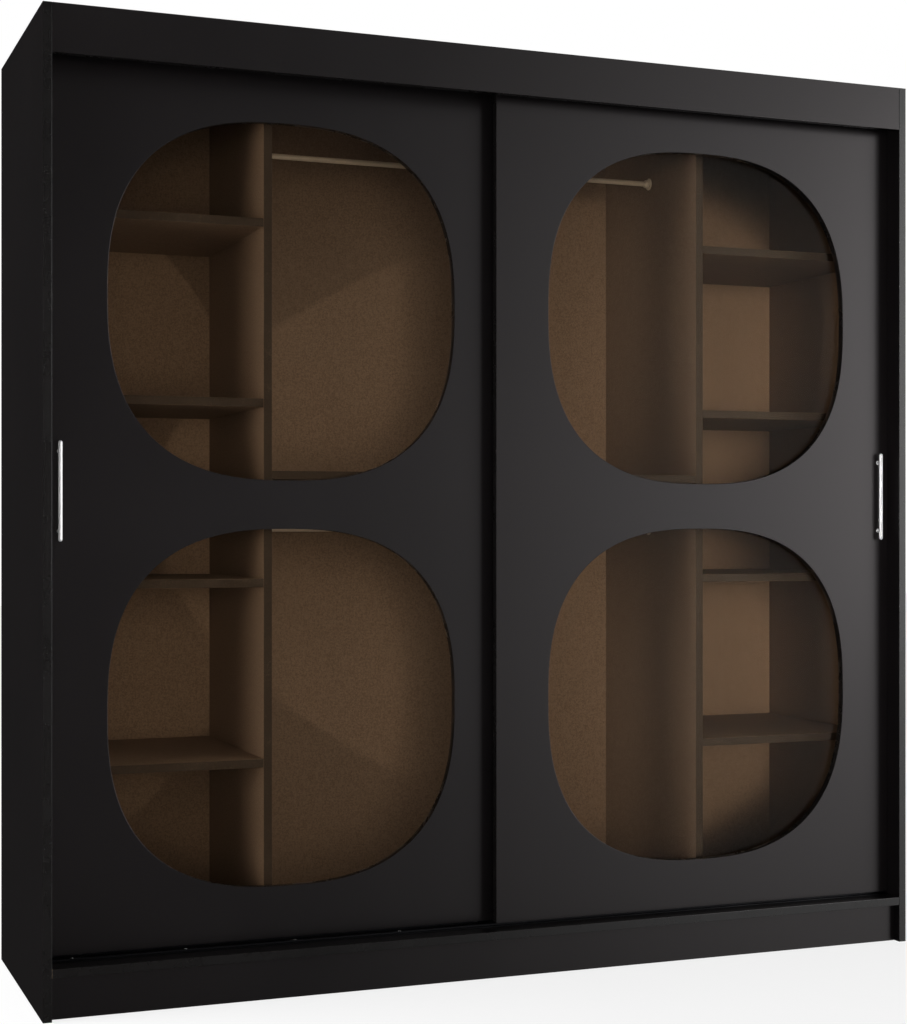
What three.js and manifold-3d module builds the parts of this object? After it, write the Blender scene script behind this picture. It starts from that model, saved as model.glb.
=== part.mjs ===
// A two-door sliding wardrobe: a black carcass with three inner bays, and two overlapping doors,
// each with two soft-cornered bronze glass windows. Millimetres, +Z up, +Y into the depth.
// The origin is on the floor, at the middle of the overall box.
import * as THREE from "three";
import { mergeVertices } from "three/addons/utils/BufferGeometryUtils.js";
import Module from "manifold-3d";

const wasm = await Module();
wasm.setup();

// ---------------------------------------------------------------- driving dimensions

const WIDTH = 2000;
const HEIGHT = 2000;
const DEPTH = 590;
const BOARD = 18; // every chipboard panel
const GAP = 0.3; // between two pieces that touch
const CUT_PAST = 1; // a cutting shape runs this far past the face it cuts
const WELD = 1; // two joined shapes run this far into each other
const ROUND_SEGMENTS = 24;

// carcass
const BACK_SHEET = 3;
const BACK_INSET = 2; // the back sheets stop this far inside the outer edges
const FASCIA_HEIGHT = 98;
const PLINTH_HEIGHT = 86; // floor to the underside of the bottom panel
const PLINTH_RECESS = 20;
const REAR_PLINTH_RECESS = 20;
const SIDE_BAY_WIDTH = 459; // clear width of the left and right bays
const SHELVES_PER_BAY = 4;
const DIVIDER_TOP = 1090; // upper face of the shelf that splits the middle bay
const BAY_CLEARANCE = 3.6; // partitions and shelves start this far behind the rearmost door part

// hanging rails
const RAIL_RADIUS = 6;
const RAIL_DEPTH = 348; // rail axis behind the carcass front
const UPPER_RAIL_DROP = 181; // rail axis below the top panel
const LOWER_RAIL_DROP = 105; // rail axis below the divider shelf
const SOCKET_FLANGE_RADIUS = 14;
const SOCKET_FLANGE = 3;
const SOCKET_COLLAR = 9; // collar length past the flange
const SOCKET_WALL = 3;
const SOCKET_CHAMFER = 1;

// doors
const DOOR_FACE_RECESS = 46; // front door's face behind the carcass front
const DOOR_CLEARANCE = 21; // between the back of the front door and the face of the rear door
const DOOR_OVERLAP = 42; // the closed doors cross by this much at the middle
const DOOR_SIDE_GAP = 1;
const DOOR_LIFT = 7; // underside of the doors above the bottom panel
const DOOR_TOP_GAP = 57; // top of the doors below the top panel

// windows
const WINDOW_WIDTH = 754;
const WINDOW_HEIGHT = 748;
const WINDOW_POWER = 2.6; // superellipse exponent: 2 is an ellipse, larger is squarer
const WINDOW_PITCH = 850; // between the centres of the two windows of a door
const WINDOW_STEPS = 64;
const PANE = 4;
const PANE_OVERLAP = 18; // pane behind the board, round the window
const BEAD_WALL = 7.5;
const BEAD_LIP = 1.8;
const BEAD_COVER = 8; // lip over the pane's rim

// handles
const HANDLE_LENGTH = 203;
const HANDLE_RADIUS = 4.5;
const HANDLE_PASS = 4; // the rear door's bar clears the back of the front door by this much
const HANDLE_INSET = 27; // bar axis from the door's outer edge
const HANDLE_RISE = 25; // bar centre above the door's centre
const POST_PITCH = 160;
const POST_RADIUS = 3;
const POST_FOOT_RADIUS = 5;
const POST_FOOT = 1.2;

// bottom rollers and their rail
const ROLLER_INSET = 70; // wheel axis, and the top guide's middle, from the door's side edge
const WHEEL_RADIUS = 15;
const WHEEL_TREAD_RADIUS = 13.5; // floor of the groove, which rolls on the rail's rib
const WHEEL_WIDTH = 6;
const WHEEL_CLEARANCE = 1.5; // between the wheel and the housing
const AXLE_RADIUS = 3;
const AXLE_CLEARANCE = 0.3;
const HOUSING_WIDTH = 62;
const HOUSING_HEIGHT = 45;
const HOUSING_DEPTH = 13.4;
const HOUSING_PLATE = 1.5;
const HOUSING_PLATE_MARGIN = 7;
const RAIL_BASE = 1.5;
const RAIL_BASE_MARGIN = 12; // base past the ribs, front and back
const RIB_WIDTH = 2;
const RIB_HEIGHT = 3.5;
const GROOVE_SIDE = 0.4; // groove floor past each side of the rib
const GROOVE_FLARE = 0.5; // each side of the groove widens by this much to its mouth
const WHEEL_CHAMFER = 0.5;

// top guides and their track
const TRACK_BASE = 2;
const TRACK_FIN = 2;
const TRACK_FIN_HEIGHT = 35;
const CHANNEL_WIDTH = 12;
const TRACK_LIP = 6; // track base past the outer fins
const GUIDE_LENGTH = 50;
const GUIDE_WIDTH = 16;
const GUIDE_FOOT = 3;
const TONGUE_LENGTH = 40;
const TONGUE_WIDTH = 9;
const TONGUE_HEADROOM = 14; // top of the tongue below the track's base

// ---------------------------------------------------------------- derived places

const FRONT = -DEPTH / 2;
const BACK = DEPTH / 2;
const PANEL_BACK = BACK - BACK_SHEET - GAP; // rear edges of the panels, against the back sheets
const INNER_X = WIDTH / 2 - BOARD;
const FLOOR_TOP = PLINTH_HEIGHT + BOARD; // upper face of the bottom panel
const TOP_UNDER = HEIGHT - BOARD; // lower face of the top panel
const PARTITION_OUTER_X = INNER_X - SIDE_BAY_WIDTH;
const PARTITION_INNER_X = PARTITION_OUTER_X - BOARD;
const SHELF_STEP = (TOP_UNDER - FLOOR_TOP - SHELVES_PER_BAY * BOARD) / (SHELVES_PER_BAY + 1) + BOARD;

const DOOR_FACES = {
  front: FRONT + DOOR_FACE_RECESS,
  rear: FRONT + DOOR_FACE_RECESS + BOARD + DOOR_CLEARANCE,
};
const BEAD_BACK = DOOR_FACES.rear + BOARD + GAP + PANE + GAP + BEAD_LIP;
const DOOR_WIDTH = INNER_X - DOOR_SIDE_GAP + DOOR_OVERLAP / 2;
const DOOR_CENTRE_X = (INNER_X - DOOR_SIDE_GAP - DOOR_OVERLAP / 2) / 2;
const DOOR_BOTTOM = FLOOR_TOP + DOOR_LIFT;
const DOOR_TOP = TOP_UNDER - DOOR_TOP_GAP;
const DOOR_CENTRE_Z = (DOOR_BOTTOM + DOOR_TOP) / 2;

const HANDLE_STANDOFF = DOOR_CLEARANCE - HANDLE_PASS - HANDLE_RADIUS;

const POCKET_DEPTH = HOUSING_DEPTH + GAP;
const WHEEL_BEHIND_FACE = BOARD - POCKET_DEPTH / 2;
const RIB_TOP = FLOOR_TOP + GAP + RAIL_BASE + RIB_HEIGHT;
const WHEEL_Z = RIB_TOP + GAP + WHEEL_TREAD_RADIUS;
const TRACK_UNDER = TOP_UNDER - GAP - TRACK_BASE;
const TOP_TRACK_REACH = CHANNEL_WIDTH / 2 + TRACK_FIN + TRACK_LIP; // base past a channel's centre
const TRACK_BACK = Math.max(
  DOOR_FACES.rear + WHEEL_BEHIND_FACE + RAIL_BASE_MARGIN,
  DOOR_FACES.rear + BOARD / 2 + TOP_TRACK_REACH,
);
const BAY_FRONT = Math.max(BEAD_BACK, TRACK_BACK) + BAY_CLEARANCE;

// ---------------------------------------------------------------- materials

function material(color, roughness, metalness) {
  return new THREE.MeshStandardMaterial({ color, roughness, metalness });
}

const MATERIALS = {
  blackLaminate: material(0x1d1b1b, 0.5, 0),
  innerLaminate: material(0x74685a, 0.6, 0),
  backSheet: material(0x7d6f5f, 0.7, 0),
  bronzeGlass: new THREE.MeshStandardMaterial({
    color: 0x5a4330,
    roughness: 0.05,
    metalness: 0,
    transparent: true,
    opacity: 0.45,
  }),
  chrome: material(0xe6e1e1, 0.15, 1),
  aluminium: material(0x2c2c2e, 0.4, 0.8),
  blackPlastic: material(0x111111, 0.55, 0),
  wheelPlastic: material(0x3a3a3a, 0.45, 0),
};

// ---------------------------------------------------------------- shape helpers

function named(name, geometry, mat) {
  const mesh = new THREE.Mesh(geometry, mat);
  mesh.name = name;
  return mesh;
}

// A box from its low and high limits along each axis.
function boxGeometry([x0, x1], [y0, y1], [z0, z1]) {
  const geometry = new THREE.BoxGeometry(x1 - x0, y1 - y0, z1 - z0);
  return geometry.translate((x0 + x1) / 2, (y0 + y1) / 2, (z0 + z1) / 2);
}

function panel(name, x, y, z, mat = MATERIALS.blackLaminate) {
  return named(name, boxGeometry(x, y, z), mat);
}

// Points of a window outline, let out by a margin.
function windowOutline(margin) {
  const halfWidth = WINDOW_WIDTH / 2 + margin;
  const halfHeight = WINDOW_HEIGHT / 2 + margin;
  const points = [];
  for (let i = 0; i < WINDOW_STEPS; i += 1) {
    const angle = (2 * Math.PI * i) / WINDOW_STEPS;
    const c = Math.cos(angle);
    const s = Math.sin(angle);
    const reach = (Math.abs(c) ** WINDOW_POWER + Math.abs(s) ** WINDOW_POWER) ** (-1 / WINDOW_POWER);
    points.push(new THREE.Vector2(halfWidth * c * reach, halfHeight * s * reach));
  }
  return points;
}

// An upright plate: an outline in X and Z, from yFront to yBack.
function plateGeometry(outline, holes, yFront, yBack) {
  const shape = new THREE.Shape(outline);
  shape.holes = holes.map((points) => new THREE.Path(points));
  const geometry = new THREE.ExtrudeGeometry(shape, { depth: yBack - yFront, bevelEnabled: false });
  return geometry.rotateX(Math.PI / 2).translate(0, yBack, 0);
}

// A turned piece: [radius, height] pairs, turned about the Y axis.
function turned(profile) {
  const points = profile.map(([radius, height]) => new THREE.Vector2(radius, height));
  return new THREE.LatheGeometry(points, ROUND_SEGMENTS);
}

function solid(geometry) {
  const bare = new THREE.BufferGeometry();
  bare.setAttribute("position", geometry.getAttribute("position").clone());
  if (geometry.index) bare.setIndex(geometry.index.clone());
  const merged = mergeVertices(bare, 1e-3);
  return new wasm.Manifold(
    new wasm.Mesh({
      numProp: 3,
      vertProperties: new Float32Array(merged.getAttribute("position").array),
      triVerts: new Uint32Array(merged.index.array),
    }),
  );
}

function geometryOf(body) {
  const mesh = body.getMesh();
  const geometry = new THREE.BufferGeometry();
  geometry.setAttribute("position", new THREE.BufferAttribute(mesh.vertProperties, 3));
  geometry.setIndex(new THREE.BufferAttribute(mesh.triVerts, 1));
  geometry.computeVertexNormals();
  return geometry;
}

// ---------------------------------------------------------------- carcass

function outerPanels() {
  const between = [-INNER_X + GAP, INNER_X - GAP];
  return [
    panel("side_panel_left", [-WIDTH / 2, -INNER_X], [FRONT, PANEL_BACK], [0, HEIGHT]),
    panel("side_panel_right", [INNER_X, WIDTH / 2], [FRONT, PANEL_BACK], [0, HEIGHT]),
    panel("fascia", between, [FRONT, FRONT + BOARD], [HEIGHT - FASCIA_HEIGHT, HEIGHT]),
    panel("top_panel", between, [FRONT + BOARD + GAP, PANEL_BACK], [TOP_UNDER, HEIGHT]),
    panel("bottom_panel", between, [FRONT, PANEL_BACK], [PLINTH_HEIGHT, FLOOR_TOP]),
  ];
}

function plinth() {
  const between = [-INNER_X + GAP, INNER_X - GAP];
  const upright = [0, PLINTH_HEIGHT - GAP];
  const frontFace = FRONT + PLINTH_RECESS;
  const rearFace = PANEL_BACK - REAR_PLINTH_RECESS;
  const braceY = [frontFace + BOARD + GAP, rearFace - BOARD - GAP];
  const braces = [-1, 1].map((side) => {
    const x = side * (PARTITION_INNER_X + BOARD / 2);
    const name = side < 0 ? "plinth_brace_left" : "plinth_brace_right";
    return panel(name, [x - BOARD / 2, x + BOARD / 2], braceY, upright);
  });
  return [
    panel("plinth_front", between, [frontFace, frontFace + BOARD], upright),
    panel("plinth_rear", between, [rearFace - BOARD, rearFace], upright),
    ...braces,
  ];
}

// Three back sheets that meet behind the middle of each partition.
function backSheets() {
  const y = [BACK - BACK_SHEET, BACK];
  const z = [PLINTH_HEIGHT + BACK_INSET, HEIGHT - BACK_INSET];
  const edge = WIDTH / 2 - BACK_INSET;
  const seam = PARTITION_INNER_X + BOARD / 2;
  return [
    panel("back_sheet_left", [-edge, -seam - GAP / 2], y, z, MATERIALS.backSheet),
    panel("back_sheet_middle", [-seam + GAP / 2, seam - GAP / 2], y, z, MATERIALS.backSheet),
    panel("back_sheet_right", [seam + GAP / 2, edge], y, z, MATERIALS.backSheet),
  ];
}

function partitions() {
  const y = [BAY_FRONT, PANEL_BACK];
  const z = [FLOOR_TOP + GAP, TOP_UNDER - GAP];
  const mat = MATERIALS.innerLaminate;
  return [
    panel("partition_left", [-PARTITION_OUTER_X, -PARTITION_INNER_X], y, z, mat),
    panel("partition_right", [PARTITION_INNER_X, PARTITION_OUTER_X], y, z, mat),
  ];
}

function shelves() {
  const y = [BAY_FRONT, PANEL_BACK];
  const near = PARTITION_OUTER_X + GAP;
  const far = INNER_X - GAP;
  const meshes = [];
  for (let level = 1; level <= SHELVES_PER_BAY; level += 1) {
    const top = FLOOR_TOP + level * SHELF_STEP;
    const z = [top - BOARD, top];
    meshes.push(panel(`shelf_left_${level}`, [-far, -near], y, z, MATERIALS.innerLaminate));
    meshes.push(panel(`shelf_right_${level}`, [near, far], y, z, MATERIALS.innerLaminate));
  }
  const half = PARTITION_INNER_X - GAP;
  const z = [DIVIDER_TOP - BOARD, DIVIDER_TOP];
  meshes.push(panel("divider_shelf", [-half, half], y, z, MATERIALS.innerLaminate));
  return meshes;
}

// A cup that holds one end of a rail: its axis is Y, its flange at 0 and its mouth towards +Y.
function socketGeometry() {
  const bore = RAIL_RADIUS + GAP;
  const collar = bore + SOCKET_WALL;
  const mouth = SOCKET_FLANGE + SOCKET_COLLAR;
  return turned([
    [0, 0],
    [SOCKET_FLANGE_RADIUS, 0],
    [SOCKET_FLANGE_RADIUS, SOCKET_FLANGE - SOCKET_CHAMFER],
    [SOCKET_FLANGE_RADIUS - SOCKET_CHAMFER, SOCKET_FLANGE],
    [collar, SOCKET_FLANGE],
    [collar, mouth],
    [bore, mouth],
    [bore, SOCKET_FLANGE],
    [0, SOCKET_FLANGE],
  ]);
}

function hangingRail(name, z) {
  const group = new THREE.Group();
  const socketX = PARTITION_INNER_X - GAP;
  const railLength = 2 * (socketX - SOCKET_FLANGE - GAP);
  const rod = new THREE.CylinderGeometry(RAIL_RADIUS, RAIL_RADIUS, railLength, ROUND_SEGMENTS);
  rod.rotateZ(Math.PI / 2);
  const left = named(`${name}_socket_left`, socketGeometry(), MATERIALS.chrome);
  left.rotation.z = -Math.PI / 2;
  left.position.x = -socketX;
  const right = named(`${name}_socket_right`, socketGeometry(), MATERIALS.chrome);
  right.rotation.z = Math.PI / 2;
  right.position.x = socketX;
  group.add(named(name, rod, MATERIALS.chrome), left, right);
  group.position.set(0, FRONT + RAIL_DEPTH, z);
  return group;
}

// ---------------------------------------------------------------- door tracks

function trackSpan() {
  return [-INNER_X + DOOR_SIDE_GAP, INNER_X - DOOR_SIDE_GAP];
}

// A flat strip with one upright rib under each door's wheels.
function bottomTrack() {
  const ribs = Object.values(DOOR_FACES).map((face) => face + WHEEL_BEHIND_FACE);
  const [x0, x1] = trackSpan();
  const under = FLOOR_TOP + GAP;
  const y0 = ribs[0] - RAIL_BASE_MARGIN;
  const y1 = ribs[1] + RAIL_BASE_MARGIN;
  let body = solid(boxGeometry([x0, x1], [y0, y1], [under, under + RAIL_BASE]));
  for (const y of ribs) {
    const rib = boxGeometry([x0, x1], [y - RIB_WIDTH / 2, y + RIB_WIDTH / 2], [under, RIB_TOP]);
    body = body.add(solid(rib));
  }
  return named("bottom_track", geometryOf(body), MATERIALS.aluminium);
}

// A strip with two downward channels that keep the doors upright.
function topTrack() {
  const centres = Object.values(DOOR_FACES).map((face) => face + BOARD / 2);
  const [x0, x1] = trackSpan();
  const y0 = centres[0] - TOP_TRACK_REACH;
  const y1 = centres[1] + TOP_TRACK_REACH;
  let body = solid(boxGeometry([x0, x1], [y0, y1], [TRACK_UNDER, TRACK_UNDER + TRACK_BASE]));
  const z = [TRACK_UNDER - TRACK_FIN_HEIGHT, TRACK_UNDER + WELD];
  for (const centre of centres) {
    for (const side of [-1, 1]) {
      const y = centre + (side * (CHANNEL_WIDTH + TRACK_FIN)) / 2;
      const fin = boxGeometry([x0, x1], [y - TRACK_FIN / 2, y + TRACK_FIN / 2], z);
      body = body.add(solid(fin));
    }
  }
  return named("top_track", geometryOf(body), MATERIALS.aluminium);
}

// ---------------------------------------------------------------- doors

// In a door's own frame X is 0 at its middle, Y is 0 at its face, and Z is the wardrobe's.

function windowCentres() {
  return {
    upper: DOOR_CENTRE_Z + WINDOW_PITCH / 2,
    lower: DOOR_CENTRE_Z - WINDOW_PITCH / 2,
  };
}

function rollerPlaces() {
  const x = DOOR_WIDTH / 2 - ROLLER_INSET;
  return { left: -x, right: x };
}

// The board: two window openings, and a pocket from behind for each roller.
function doorBoard(name) {
  const w = DOOR_WIDTH / 2;
  const outline = [
    new THREE.Vector2(-w, DOOR_BOTTOM),
    new THREE.Vector2(w, DOOR_BOTTOM),
    new THREE.Vector2(w, DOOR_TOP),
    new THREE.Vector2(-w, DOOR_TOP),
  ];
  const holes = Object.values(windowCentres()).map((z) =>
    windowOutline(0).map((point) => new THREE.Vector2(point.x, point.y + z)),
  );
  let body = solid(plateGeometry(outline, holes, 0, BOARD));
  const half = HOUSING_WIDTH / 2 + GAP;
  for (const x of Object.values(rollerPlaces())) {
    const pocket = boxGeometry(
      [x - half, x + half],
      [BOARD - POCKET_DEPTH, BOARD + CUT_PAST],
      [DOOR_BOTTOM - CUT_PAST, DOOR_BOTTOM + HOUSING_HEIGHT + GAP],
    );
    body = body.subtract(solid(pocket));
  }
  return named(`${name}_board`, geometryOf(body), MATERIALS.blackLaminate);
}

function pane(name) {
  const y = BOARD + GAP;
  const geometry = plateGeometry(windowOutline(PANE_OVERLAP), [], y, y + PANE);
  return named(name, geometry, MATERIALS.bronzeGlass);
}

// The bead that holds a pane: a wall round the pane's rim and a thin lip over its back.
function glazingBead(name) {
  const y = BOARD + GAP;
  const lipY = y + PANE + GAP;
  const rim = PANE_OVERLAP + GAP;
  const outer = windowOutline(rim + BEAD_WALL);
  const wall = plateGeometry(outer, [windowOutline(rim)], y, lipY + BEAD_LIP);
  const lip = plateGeometry(outer, [windowOutline(PANE_OVERLAP - BEAD_COVER)], lipY, lipY + BEAD_LIP);
  return named(name, geometryOf(solid(wall).add(solid(lip))), MATERIALS.blackPlastic);
}

function handle(name) {
  const group = new THREE.Group();
  const straight = HANDLE_LENGTH / 2 - HANDLE_RADIUS;
  const bar = new THREE.CapsuleGeometry(HANDLE_RADIUS, 2 * straight, 5, 16);
  bar.rotateX(Math.PI / 2);
  group.add(named(`${name}_handle_bar`, bar, MATERIALS.chrome));
  const length = HANDLE_STANDOFF - HANDLE_RADIUS - 2 * GAP;
  const profile = [
    [0, 0],
    [POST_RADIUS, 0],
    [POST_RADIUS, length - POST_FOOT],
    [POST_FOOT_RADIUS, length - POST_FOOT / 2],
    [POST_FOOT_RADIUS, length],
    [0, length],
  ];
  for (const [place, side] of [["lower", -1], ["upper", 1]]) {
    const post = named(`${name}_handle_post_${place}`, turned(profile), MATERIALS.chrome);
    post.position.set(0, HANDLE_RADIUS + GAP, (side * POST_PITCH) / 2);
    group.add(post);
  }
  return group;
}

// A grooved wheel about the Y axis, with a bore for its axle.
function wheelGeometry() {
  const half = WHEEL_WIDTH / 2;
  const bore = AXLE_RADIUS + AXLE_CLEARANCE;
  const grooveFloor = RIB_WIDTH / 2 + GROOVE_SIDE;
  const grooveMouth = grooveFloor + GROOVE_FLARE;
  return turned([
    [bore, -half],
    [WHEEL_RADIUS - WHEEL_CHAMFER, -half],
    [WHEEL_RADIUS, -half + WHEEL_CHAMFER],
    [WHEEL_RADIUS, -grooveMouth],
    [WHEEL_TREAD_RADIUS, -grooveFloor],
    [WHEEL_TREAD_RADIUS, grooveFloor],
    [WHEEL_RADIUS, grooveMouth],
    [WHEEL_RADIUS, half - WHEEL_CHAMFER],
    [WHEEL_RADIUS - WHEEL_CHAMFER, half],
    [bore, half],
    [bore, -half],
  ]);
}

// A block in the board's pocket with a slot for the wheel, its axle, and a plate on the board's back.
function housingGeometry() {
  const half = HOUSING_WIDTH / 2;
  const top = DOOR_BOTTOM + HOUSING_HEIGHT;
  const blockY = [BOARD - HOUSING_DEPTH, BOARD + GAP + HOUSING_PLATE];
  let body = solid(boxGeometry([-half, half], blockY, [DOOR_BOTTOM, top]));
  const plateHalf = half + HOUSING_PLATE_MARGIN;
  const plateY = [BOARD + GAP, BOARD + GAP + HOUSING_PLATE];
  const plateZ = [DOOR_BOTTOM, top + HOUSING_PLATE_MARGIN];
  body = body.add(solid(boxGeometry([-plateHalf, plateHalf], plateY, plateZ)));
  const slotX = WHEEL_RADIUS + WHEEL_CLEARANCE;
  const slotY = WHEEL_WIDTH / 2 + WHEEL_CLEARANCE;
  const slot = boxGeometry(
    [-slotX, slotX],
    [WHEEL_BEHIND_FACE - slotY, WHEEL_BEHIND_FACE + slotY],
    [DOOR_BOTTOM - CUT_PAST, WHEEL_Z + slotX],
  );
  body = body.subtract(solid(slot));
  const axle = new THREE.CylinderGeometry(AXLE_RADIUS, AXLE_RADIUS, 2 * (slotY + WELD), ROUND_SEGMENTS);
  axle.translate(0, WHEEL_BEHIND_FACE, WHEEL_Z);
  return geometryOf(body.add(solid(axle)));
}

function rollers(name) {
  const meshes = [];
  for (const [place, x] of Object.entries(rollerPlaces())) {
    const housing = named(`${name}_roller_${place}`, housingGeometry(), MATERIALS.blackPlastic);
    housing.position.x = x;
    const wheel = named(`${name}_wheel_${place}`, wheelGeometry(), MATERIALS.wheelPlastic);
    wheel.position.set(x, WHEEL_BEHIND_FACE, WHEEL_Z);
    meshes.push(housing, wheel);
  }
  return meshes;
}

// A foot on the board's top edge, and a tongue that runs in the top track's channel.
function topGuides(name) {
  const y = BOARD / 2;
  const foot = boxGeometry(
    [-GUIDE_LENGTH / 2, GUIDE_LENGTH / 2],
    [y - GUIDE_WIDTH / 2, y + GUIDE_WIDTH / 2],
    [DOOR_TOP + GAP, DOOR_TOP + GAP + GUIDE_FOOT],
  );
  const tongue = boxGeometry(
    [-TONGUE_LENGTH / 2, TONGUE_LENGTH / 2],
    [y - TONGUE_WIDTH / 2, y + TONGUE_WIDTH / 2],
    [DOOR_TOP + GAP, TRACK_UNDER - TONGUE_HEADROOM],
  );
  const geometry = geometryOf(solid(foot).add(solid(tongue)));
  return Object.entries(rollerPlaces()).map(([place, x]) => {
    const guide = named(`${name}_guide_${place}`, geometry.clone(), MATERIALS.blackPlastic);
    guide.position.x = x;
    return guide;
  });
}

// side is 1 for a door whose outer edge is on the right, -1 for one on the left.
function door(name, side) {
  const group = new THREE.Group();
  group.add(doorBoard(name));
  for (const [place, z] of Object.entries(windowCentres())) {
    const glass = pane(`${name}_pane_${place}`);
    const bead = glazingBead(`${name}_bead_${place}`);
    glass.position.z = z;
    bead.position.z = z;
    group.add(glass, bead);
  }
  const grip = handle(name);
  grip.position.set(side * (DOOR_WIDTH / 2 - HANDLE_INSET), -HANDLE_STANDOFF, DOOR_CENTRE_Z + HANDLE_RISE);
  group.add(grip, ...rollers(name), ...topGuides(name));
  group.position.set(side * DOOR_CENTRE_X, DOOR_FACES[name.split("_")[0]], 0);
  return group;
}

// ---------------------------------------------------------------- assembly

const wardrobe = new THREE.Group();
wardrobe.add(...outerPanels(), ...plinth(), ...backSheets(), ...partitions(), ...shelves());
wardrobe.add(hangingRail("upper_rail", TOP_UNDER - UPPER_RAIL_DROP));
wardrobe.add(hangingRail("lower_rail", DIVIDER_TOP - BOARD - LOWER_RAIL_DROP));
wardrobe.add(bottomTrack(), topTrack());
wardrobe.add(door("front_door", 1), door("rear_door", -1));

export default wardrobe;
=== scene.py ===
"""A sliding door wardrobe: black boards, bronze glass windows, chrome bars.

Metres, +Z up, the doors towards -Y. Every place comes from the frame's own boxes.
"""
import math

import bmesh
import bpy
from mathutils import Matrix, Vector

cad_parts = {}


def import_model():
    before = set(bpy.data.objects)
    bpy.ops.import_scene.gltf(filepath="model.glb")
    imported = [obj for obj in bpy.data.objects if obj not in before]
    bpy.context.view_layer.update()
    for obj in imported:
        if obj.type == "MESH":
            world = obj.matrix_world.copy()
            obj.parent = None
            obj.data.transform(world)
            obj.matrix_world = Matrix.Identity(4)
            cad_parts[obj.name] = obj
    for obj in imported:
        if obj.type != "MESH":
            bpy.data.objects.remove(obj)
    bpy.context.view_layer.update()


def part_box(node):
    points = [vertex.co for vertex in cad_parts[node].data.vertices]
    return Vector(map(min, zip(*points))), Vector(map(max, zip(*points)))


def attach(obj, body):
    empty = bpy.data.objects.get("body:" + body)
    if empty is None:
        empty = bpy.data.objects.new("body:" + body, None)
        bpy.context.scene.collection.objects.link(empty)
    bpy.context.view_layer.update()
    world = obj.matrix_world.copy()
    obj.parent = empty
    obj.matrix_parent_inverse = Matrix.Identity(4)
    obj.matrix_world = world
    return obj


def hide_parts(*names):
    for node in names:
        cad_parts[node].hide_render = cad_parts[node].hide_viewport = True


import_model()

# ---------------------------------------------------------------- sizes

ARRIS = 0.0007  # rounding along every board's edges
SMOOTH_ANGLE = math.radians(35)
SQUARE = 0.99999  # a normal this near an axis belongs to a flat face
FACING = 0.9  # a normal with this much along an axis faces that way
ALONG = 0.99  # an edge with this much along an axis runs along it
FINE_ARRIS = 0.0004  # rounding on tracks, beads and housings
THIN_ARRIS = 0.0003  # rounding on thin sheets and plates
PANE_ARRIS = 0.0005
MERGE = 1e-5  # points nearer than this become one
PAST = 0.01  # how far a cutter reaches past what it cuts
WINDOW_POWER = 2.6  # superellipse exponent of the windows' outline
WINDOW_STEPS = 48  # segments along a quarter of a window's outline
PANE_OVERLAP = 0.018  # pane behind the board, round the window
PLATE = 0.0015  # roller housing's plate, on the back of the board
PLATE_MARGIN = 0.007
PLATE_CORNER = 0.004
HOUSING_CORNER = 0.003
SEAT = 0.0003  # gap between two pieces that touch
TREAD_RADIUS = 0.0135
WHEEL_SIDE_ROOM = 0.0015
AXLE_RADIUS = 0.003
WHEEL_BORE = 0.0033
WHEEL_HOLES = 6
RIB_WIDTH = 0.002
RIB_PLAY = 0.0004  # room on each side of the rib in a wheel's groove
RAIL_BASE = 0.0015
TRACK_BASE = 0.002
TRACK_FIN = 0.002
TRACK_SCREWS = 9
TRACK_SCREW_INSET = 0.05  # from each end of a track
CHANNEL_WIDTH = 0.012
GUIDE_FOOT = 0.003
GUIDE_CORNER = 0.004
GUIDE_ARRIS = 0.0006
GUIDE_SCREW_OFFSET = 0.0025  # beyond each end of the tongue
TONGUE_LENGTH = 0.04
TONGUE_WIDTH = 0.009
TONGUE_CORNER = 0.0035
TONGUE_ARRIS = 0.0008
TONGUE_ROOT = 0.001  # how far the tongue goes into its foot
SOCKET_FLANGE = 0.003
SOCKET_SCREWS = 3
NAIL_RADIUS = 0.0032
NAIL_HEAD = 0.0003
NAIL_MARGIN = 0.007  # from the rim of a back sheet
NAIL_ROWS = 15
NAIL_COLUMNS = {"left": 5, "middle": 9, "right": 5}
RAIL_SCREW = (0.0019, 0.0008)  # head radius and height, as for the screws below
TRACK_SCREW = (0.0035, 0.0012)
ROLLER_SCREW = (0.0028, 0.0002)
GUIDE_SCREW = (0.0021, 0.0009)
WARM_GLOSS = (1.0, 0.94, 0.95, 1.0)  # tint of the black boards' reflections

DOORS = ("front_door", "rear_door")
LEVELS = ("upper", "lower")
SIDES = ("left", "right")
SHELF_LEVELS = (1, 2, 3, 4)


# ---------------------------------------------------------------- modelling steps


def deselect():
    bpy.ops.object.select_all(action="DESELECT")


def only(piece):
    """Makes one piece the selected and active one."""
    deselect()
    piece.select_set(True)
    bpy.context.view_layer.objects.active = piece


def call(piece, name):
    piece.name = name
    piece.data.name = name
    return piece


def settle(piece, centre=(0, 0, 0), turn=(0, 0, 0)):
    """Turns and moves a piece, and puts its place into its mesh."""
    only(piece)
    piece.rotation_euler = turn
    piece.location = centre
    bpy.ops.object.transform_apply(location=True, rotation=True, scale=True)
    return piece


def middle_of(low, high):
    """The point halfway between two corners."""
    return [(a + b) / 2 for a, b in zip(low, high)]


def front_of(low, high):
    """The middle of the front face between two corners."""
    across, _, upward = middle_of(low, high)
    return across, low[1], upward


def block(name, low, high):
    """A rectangular piece between two corners."""
    deselect()
    size = [b - a for a, b in zip(low, high)]
    bpy.ops.mesh.primitive_cube_add(size=1, location=middle_of(low, high), scale=size)
    bpy.ops.object.transform_apply(location=True, rotation=True, scale=True)
    return call(bpy.context.object, name)


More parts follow.
